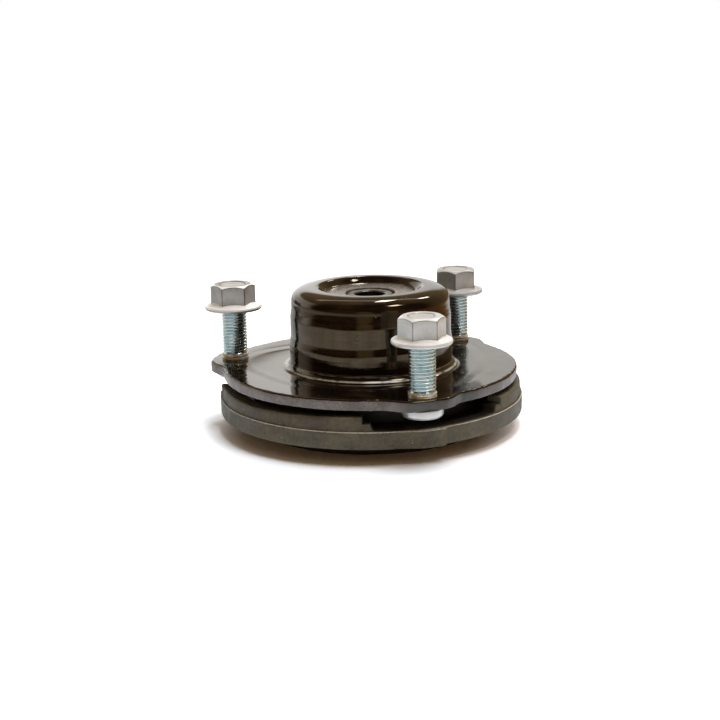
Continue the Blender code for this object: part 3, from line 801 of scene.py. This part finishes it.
def helix_faces(rows, first, last, columns):
    """Quads of a thread: the last row joins the first one a pitch further up."""
    i = np.arange(rows - 1)[:, None]
    j = np.arange(first, last)[None, :]
    body = quads(i, j, i + 1, j + 1, columns)
    j = np.arange(first, last - PER_PITCH)
    row = (rows - 1) * columns
    seam = np.stack([row + j, row + j + 1, j + 1 + PER_PITCH, j + PER_PITCH], -1)
    return np.concatenate([body, seam])


def stud(place, zinc):
    """A press-in stud: round head, shank, grooved collar and a thread up to its end."""
    rows = 44
    degrees = np.arange(rows) * 360.0 / rows
    low, high = COLLAR_TOP, STUD_TOP
    height, radius = thread_grid(degrees / 360.0, low, high)
    radius = np.minimum(radius, STUD_END_RADIUS + (high - height))
    radius = radius + (RUN_OUT_RADIUS - radius) * (1 - smooth((height - low) / 1.1))
    radius = np.where(height <= low, RUN_OUT_RADIUS, radius)
    radius = np.where(height >= high, STUD_END_RADIUS, radius)
    height = np.clip(height, low, high)
    head_top, head_bottom = PLATE_BOTTOM - 0.05, STUD_HEAD_BOTTOM
    foot = round_path([
        (2.0, head_bottom, 0), (STUD_HEAD - 0.7, head_bottom, 0.6),
        (STUD_HEAD, head_bottom + 0.9, 0.5), (STUD_HEAD, head_top, 0.15),
        (SHANK_RADIUS, head_top, 0), (SHANK_RADIUS, 0.1, 0), (SHANK_RADIUS, 0.40, 0.15),
        (GROOVE_RADIUS, 0.60, 0.12), (GROOVE_RADIUS, 0.80, 0.12), (SHANK_RADIUS, 1.00, 0.15),
        (SHANK_RADIUS, COLLAR_TOP, 0.30), (RUN_OUT_RADIUS + 0.01, COLLAR_TOP, 0)], 4)
    top = np.array([(4.3, high), (3.2, high - 0.02), (2.5, high - 0.08), (1.9, high - 0.18),
                    (1.2, high - 0.22)])
    grid_r = np.concatenate([in_rows(foot[:, 0], rows), radius, in_rows(top[:, 0], rows)], 1)
    grid_z = np.concatenate([in_rows(foot[:, 1], rows), height, in_rows(top[:, 1], rows)], 1)
    columns = grid_r.shape[1]
    thread_first = len(foot)
    thread_last = thread_first + radius.shape[1] - 1
    faces = np.concatenate([
        grid_faces(rows, 0, thread_first, columns),
        helix_faces(rows, thread_first, thread_last, columns),
        grid_faces(rows, thread_last, columns - 1, columns)])
    index = np.arange(rows) * columns
    caps = [index.tolist(), (index + columns - 1).tolist()]
    piece = make_piece("stud_" + place + "_threaded", around(degrees, grid_r, grid_z), faces,
                       [zinc], caps=caps, sharp=38.0)
    x, y = stud_centre(place)
    piece.location = (x * MM, y * MM, MOVED[place][2] * MM)
    return piece


def hexagon_radius(degrees):
    """Radius of a hexagon with rounded upright edges; flats face 0, 60 and so on."""
    flat = NUT_FLATS / 2
    inset = flat - NUT_CORNER_ROUND
    off = np.abs((degrees + 30.0) % 60.0 - 30.0)
    plain = flat / np.cos(np.radians(off))
    centre = inset / math.cos(math.radians(30))
    from_corner = np.radians(30.0 - off)
    inside = np.maximum(NUT_CORNER_ROUND ** 2 - (centre * np.sin(from_corner)) ** 2, 0.0)
    rounded = centre * np.cos(from_corner) + np.sqrt(inside)
    start = math.degrees(math.atan2(math.tan(math.radians(30)) * inset, flat))
    return np.where(off > start, rounded, plain)


def nut_shell(side, low, high):
    """Half section of a flange nut's outside, from the thread's top mouth down to its foot."""
    def skirt(radius):
        return low + FLANGE_RIM + 1.25 * ((10.9 - radius) / 3.4) ** 1.3

    chamfer_foot = high - (side - NUT_TOP_RADIUS) * NUT_CHAMFER_SLOPE
    path = [(NUT_TOP_MOUTH, high, 0), (NUT_TOP_RADIUS, high, 0.30), (side, chamfer_foot, 0.40, 2),
            (side, skirt(side), 0.7)]
    for share in (0.3, 0.55, 0.8):
        radius = side + (10.55 - side) * share
        path.append((radius, skirt(radius), 0))
    path += [(FLANGE_RADIUS - 0.25, low + FLANGE_RIM + 0.03, 0.35),
             (FLANGE_RADIUS, low + 0.75, 0.45), (FLANGE_RADIUS - 0.3, low, 0.30),
             (9.0, low, 0), (NUT_FOOT_MOUTH, low, 0)]
    return round_path(path, 4)


def nut(place, flake, painted_light, flange_highlight):
    """A threaded flange nut; its edges get a darker finish as painted shade, its chamfer and flange
    a lighter one as a painted highlight.
    """
    sector = np.array([0, 5, 10, 15, 19, 22, 24, 25.5, 27, 28.5, 30, 31.5, 33, 34.5, 36, 38, 41,
                       45, 50, 55])
    local = np.concatenate([sector + 60.0 * side for side in range(6)])
    rows = len(local)
    turn = NUT_TURNS[place]
    low, high = NUT_BOTTOM, NUT_BOTTOM + NUT_HEIGHT
    shells = np.array([nut_shell(side, low, high) for side in hexagon_radius(local)])
    turn_share = (local + turn) / 360.0
    height, radius = thread_grid(turn_share, low, high)
    radius = radius + NUT_THREAD_ROOM
    radius = np.maximum(radius, NUT_FOOT_MOUTH - (height - low))
    radius = np.maximum(radius, NUT_TOP_MOUTH - (high - height))
    radius = np.where(height <= low, NUT_FOOT_MOUTH,
                      np.where(height >= high, NUT_TOP_MOUTH, radius))
    height = np.clip(height, low, high)
    grid_r = np.concatenate([shells[:, :, 0], radius], 1)
    grid_z = np.concatenate([shells[:, :, 1], height], 1)
    columns = grid_r.shape[1]
    thread_first = shells.shape[1]
    faces = np.concatenate([grid_faces(rows, 0, thread_first, columns),
                            helix_faces(rows, thread_first, columns - 1, columns)])
    i = np.arange(rows)
    closing = quads(i, columns - 1, (i + 1) % rows, 0, columns)

    # Zone 1, the chamfer's edge and the upright corners, takes painted shade; zone 2, the chamfer
    # and the flange's top, a painted highlight
    chamfer, chamfer_edge, sides, flange_top = slice(4, 6), slice(6, 9), range(6, 14), slice(15, 27)
    shell = np.zeros((rows, thread_first), np.int32)
    shell[:, chamfer_edge] = 1
    shell[:, flange_top] = 2
    shell[:, chamfer] = 2
    at_corner = (local % 60.0 >= 28.0) & (local % 60.0 < 31.0)
    shell[np.ix_(at_corner, sides)] = 1
    plain = np.zeros(len(faces) - shell.size + len(closing), np.int32)
    zones = np.concatenate([shell.reshape(-1), plain])
    faces = np.concatenate([faces, closing])
    points = around(local + turn, grid_r, grid_z + MOVED[place][2], stud_centre(place))
    return make_piece("nut_" + place + "_flanged", points, faces, [flake, painted_light, flange_highlight], zones,
                      sharp=35.0)


def arc_rise(degrees):
    """How far the ring's arcs stand above the band, with the half step at each end."""
    rise = np.full(len(degrees), ARC_HEIGHT)
    for (place, sign), end in ARC_ENDS.items():
        off = sign * ring_degrees_from(degrees, place)
        step = smooth((off - (end - ARC_STEP)) / 1.5)
        full = smooth((off - end) / 0.45)
        here = ARC_STEP_HEIGHT * step + (ARC_HEIGHT - ARC_STEP_HEIGHT) * full
        rise = np.where((off >= 0) & (off <= 60.0), np.minimum(rise, here), rise)
    return rise


def band_swell(degrees):
    """The band's lobes at the studs, each with a long soft flank and a short steep one."""
    swell = np.zeros(len(degrees))
    for place, size in (("front", 1.0), ("right", 1.0), ("left", 0.35)):
        off = ring_degrees_from(degrees, place)
        steep = 1 - smooth((off - 3.2) / 1.8)
        soft = 1 - smooth((-off - 3.0) / 11.0)
        swell += size * np.where(off > 0, steep, soft)
    return BAND_LOBE_RISE * swell


def ring_rows():
    """Plan angles of the ring's sections: one a degree, and more at the steps and lobes."""
    base = np.arange(0.0, 360.0, 1.0)
    extra = [STUD_DEGREES[place] + RING_TURN + off
             for place in STUD_DEGREES for off in (3.4, 3.8, 4.3, 4.7)]
    for (place, sign), end in ARC_ENDS.items():
        stops = [end - ARC_STEP + share for share in (0.0, 0.2, 0.5, 0.75, 1.2, 1.5)]
        stops += [end + share for share in (-0.12, 0.0, 0.08, 0.16, 0.225, 0.29, 0.37, 0.45, 0.57)]
        extra += [STUD_DEGREES[place] + RING_TURN + sign * stop for stop in stops]
    return np.unique(np.round(np.concatenate([base, np.array(extra) % 360.0]), 4))


def spring_ring(rubber):
    """The moulded ring: arcs and band outside, the seat for the cup inside, the neck below."""
    degrees = ring_rows()
    rows = len(degrees)
    rise = arc_rise(degrees)
    bulge = 0.7 * near(degrees, 250.0, 9.0)
    swell = band_swell(degrees) + bulge
    sway = np.minimum(waves(degrees, 31, (5, 9, 14, 22), 0.06) - 0.05, 0.0)
    sag = 0.65 * near(degrees, 292.0, 30.0)
    lip = 0.9 * near(degrees, 257.2, 1.6) * (rise > 4.0)
    sections = []
    for lift, out, wobble, flash, low, wide in zip(rise, swell, sway, lip, sag, bulge):
        top = BAND_TOP + lift - low * (lift > 1.0)
        sections.append(round_path([
            (RING_BORE, -7.0, 0.5), (41.1, -7.0, 0.2), (41.1, -4.25, 0.4), (45.5, -4.25, 0.7, 1),
            (45.8, BAND_TOP, 0.6, 1), (ARC_INNER - 0.3, BAND_TOP, 0.5),
            (ARC_INNER + 0.1, top, 0.6, 2),
            (ARC_RADIUS - 0.35 + wobble + wide + 0.6 * flash, top + flash, 0.8, 2),
            (ARC_RADIUS - 0.1 + wobble + wide, BAND_TOP - 0.40, 0.10),
            (ARC_RADIUS + 0.20 + wobble + wide, BAND_TOP - 0.06, 0.10),
            (BAND_RADIUS + out + wobble, BAND_TOP - 0.02, 0.30, 5),
            (BAND_RADIUS + out - 0.12 + wobble, BAND_BOTTOM, 0.7, 2),
            (NECK_RADIUS + 0.4, BAND_BOTTOM, 0.8, 2), (NECK_RADIUS, NECK_BOTTOM, 0.9, 1),
            (NECK_BORE, NECK_BOTTOM, 0.6, 1), (NECK_BORE, BAND_BOTTOM, 0.3),
            (RING_BORE, BAND_BOTTOM, 0.4, 1)], 3, closed=True))
    sections = np.array(sections)
    columns = sections.shape[1]
    points = around(degrees, sections[:, :, 0], sections[:, :, 1])
    faces = grid_faces(rows, 0, columns, columns, closed=True)
    return make_piece("moulded_spring_ring", points, faces, [rubber], sharp=50.0)


def small_pieces(paint, steel, soft):
    """The cup, and the bush inside the dome: sleeve, disc and the two cushions."""
    cup = lathe("pressed_retainer_cup", round_path([
        (40.8, -4.2, 0.3), (40.8, -6.7, 0.5, 1), (32.1, -6.7, 0), (29.6, -7.3, 0.8, 1),
        (29.6, -17.5, 3.0, 1), (15.0, -17.5, 0.4), (15.0, -15.0, 0.4, 1), (27.1, -15.0, 1.3, 2),
        (27.1, -4.2, 3.0, 2)], 5, closed=True), paint, 128)
    sleeve = lathe("turned_sleeve", round_path([
        (6.3, SLEEVE_TOP, 0.12), (8.2, SLEEVE_TOP, 0.15), (8.8, SLEEVE_TOP - 0.5, 0.2, 3),
        (8.8, SLEEVE_FOOT + 0.5, 0.2), (8.3, SLEEVE_FOOT, 0.15), (6.3, SLEEVE_FOOT, 0.12),
        (5.8, SLEEVE_FOOT + 0.5, 0.15, 3), (5.8, SLEEVE_TOP - 0.5, 0.15)], 3, closed=True), steel)
    disc = lathe("round_edged_disc", round_path([
        (9.1, 6.5, 0.3, 1), (21.0, 6.5, 1.45), (21.0, 3.5, 1.45, 1), (9.1, 3.5, 0.3)], 6,
        closed=True), steel)
    upper = lathe("moulded_upper_cushion", round_path([
        (9.1, 23.6, 0), (13.5, 23.6, 1.0, 1), (19.0, 26.1, 2.0), (23.0, 26.1, 2.6),
        (26.8, 22.6, 2.0), (23.0, 17.8, 3.0, 1), (20.5, 12.6, 2.0), (19.6, 9.8, 1.0),
        (20.9, 6.8, 0.3), (9.1, 6.8, 0)], 5, closed=True), soft)
    lower = lathe("moulded_lower_cushion", round_path([
        (9.1, 3.2, 0), (20.9, 3.2, 0.3), (19.8, 0.4, 1.2), (19.6, -3.4, 2.5), (22.4, -9.0, 2.0),
        (25.6, -12.0, 0.6), (25.6, -14.65, 0.5), (15.2, -14.65, 0.5), (12.0, -12.6, 1.5),
        (9.1, -11.7, 0)], 5, closed=True), soft)
    return cup, sleeve, disc, upper, lower


def camera():
    lens = bpy.data.cameras.new("photo_camera")
    lens.lens = FOCAL_LENGTH
    lens.sensor_width = SENSOR_WIDTH
    lens.clip_end = 50.0
    item = add_object("photo_camera", lens)
    yaw, pitch, roll = (math.radians(turn) for turn in CAMERA_TURNS)
    right = Vector((math.cos(yaw), math.sin(yaw), 0.0))
    ahead = Vector((-math.sin(yaw) * math.cos(pitch), math.cos(yaw) * math.cos(pitch),
                    -math.sin(pitch)))
    up = right.cross(ahead)
    tilted_right = right * math.cos(roll) + up * math.sin(roll)
    tilted_up = up * math.cos(roll) - right * math.sin(roll)
    axes = Matrix((tilted_right, tilted_up, -ahead)).transposed().to_4x4()
    item.matrix_world = Matrix.Translation(Vector(CAMERA_PLACE)) @ axes
    bpy.context.scene.camera = item


def lamp(name, place, width, depth, power, in_gloss):
    """A soft box aimed at the part; without in_gloss it lights the part, but nothing mirrors it."""
    light = bpy.data.lights.new(name, "AREA")
    light.shape = "RECTANGLE"
    light.size = width
    light.size_y = depth
    light.energy = power
    item = add_object(name, light)
    item.location = place
    item.rotation_euler = (-Vector(place)).to_track_quat("-Z", "Y").to_euler()
    item.visible_glossy = in_gloss


def studio():
    """White all round for the camera. Gloss sees pale paper low behind and beside the part, a
    bright strip light high behind it, and a dim warm room above and in front, with a lighter
    doorway at the front left. Matt surfaces get a warm fill, stronger from the right, and the
    lamps."""
    scene = bpy.context.scene
    scene.view_settings.view_transform = "Standard"
    world = bpy.data.worlds.new("studio")
    scene.world = world
    world.use_nodes = True
    sky = Nodes(world.node_tree, "Generated")
    raised = sky.maths("SUBTRACT", sky.part("Z"), sky.toward(LEFT, 0.10, 0.90, 0.0, 0.30))
    low = sky.span(raised, 0.25, 0.34, 1.0, 0.0)
    behind_and_left = tuple(back + 0.2 * left for back, left in zip(BEHIND, LEFT))
    paper = sky.product(low, sky.toward(behind_and_left, 0.20, 0.50),
                        sky.toward(LEFT, -0.30, -0.15))
    white = sky.mix(sky.toward(LEFT, -0.02, 0.06), (1.08, 1.07, 1.05), (1.42, 1.40, 1.38))
    white = sky.mix(sky.toward(LEFT, 0.28, 0.60), white, (0.98, 0.97, 0.95))
    doorway = sky.toward(FRONT_LEFT, 0.965, 0.990)
    front = sky.mix(doorway, (0.050, 0.026, 0.018), (0.36, 0.27, 0.17))
    room = sky.mix(sky.toward(BEHIND, -0.10, 0.25), front, (0.26, 0.19, 0.10))
    gloss = sky.mix(paper, room, white)
    strip = sky.product(sky.toward(UP, 0.655, 0.675), sky.toward(UP, 0.755, 0.735),
                        sky.toward(LEFT, -0.42, -0.34), sky.toward(LEFT, 0.43, 0.36),
                        sky.toward(BEHIND, 0.0, 0.1))
    gloss = sky.mix(strip, gloss, (1.20, 1.18, 1.14))
    fill = sky.mix(sky.toward(LEFT, -0.5, 0.5), (0.41, 0.295, 0.175), (0.23, 0.165, 0.095))
    rays = sky.add("ShaderNodeLightPath").outputs
    colour = sky.mix(rays["Is Diffuse Ray"], gloss, fill)
    colour = sky.mix(rays["Is Camera Ray"], colour, (1.0, 1.0, 1.0))
    sky.feed(sky.tree.nodes["Background"].inputs["Color"], colour)
    for settings in LAMPS:
        lamp(*settings)


def floor(finish):
    level = NECK_BOTTOM - FLOOR_GAP
    corners = ((-1, -1), (1, -1), (1, 1), (-1, 1))
    points = np.array([(FLOOR_HALF * x, FLOOR_HALF * y, level) for x, y in corners])
    piece = make_piece("floor", points, np.array([[0, 1, 2, 3]]), [finish])


paint = gloss_paint()
rubber = ring_rubber()
zinc = blue_zinc()
steel = bare_steel()
soft = bush_rubber()
camera()
studio()
floor(white_floor())

plate = top_plate(paint, sheared_edge())
ring = spring_ring(rubber)
cup, sleeve, disc, upper, lower = small_pieces(paint, steel, soft)
for piece, body, node, slot in (
        (plate, "mount", "top_plate", "black_paint"),
        (ring, "mount", "spring_insulator", "ring_rubber"),
        (cup, "mount", "retainer_cup", "black_paint"),
        (sleeve, "rod_bush", "centre_sleeve", "bare_steel"),
        (disc, "rod_bush", "load_disc", "bare_steel")):
    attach(piece, body)
    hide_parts(node)
for piece, node, start, end in (
        (upper, "upper_cushion", (0, 0, 0.0250), (0, 0, 0.0068)),
        (lower, "lower_cushion", (0, 0, -0.0146), (0, 0, 0.0032))):
    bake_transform(piece)
    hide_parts(node)
for place in STUD_DEGREES:
    piece = stud(place, zinc)
    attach(piece, "mount")
    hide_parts("stud_" + place)
    # The right and left nuts take darker tones than the front one: painted shade
    dark, light = NUT_LIT_AND_SHADED_TONES[place]
    # Painted shade for the nut's edges: the coat's tones at half
    edge_shade_tones = (tuple(0.5 * part for part in tone) for tone in (dark, light))
    painted_light = zinc_flake(place + "_edges", *edge_shade_tones)
    # Painted highlight on the chamfer and flange: a plain grey, less metallic coat, lightest on the
    # left nut
    flange_highlight_grey = FLANGE_HIGHLIGHT_TONES[place]
    flange_highlight = zinc_flake(place + "_flange", (0.9 * flange_highlight_grey,) * 3, (flange_highlight_grey,) * 3, 0.25)
    piece = nut(place, zinc_flake(place, dark, light), painted_light, flange_highlight)
    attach(piece, "nut_" + place)
    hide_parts("flange_nut_" + place)
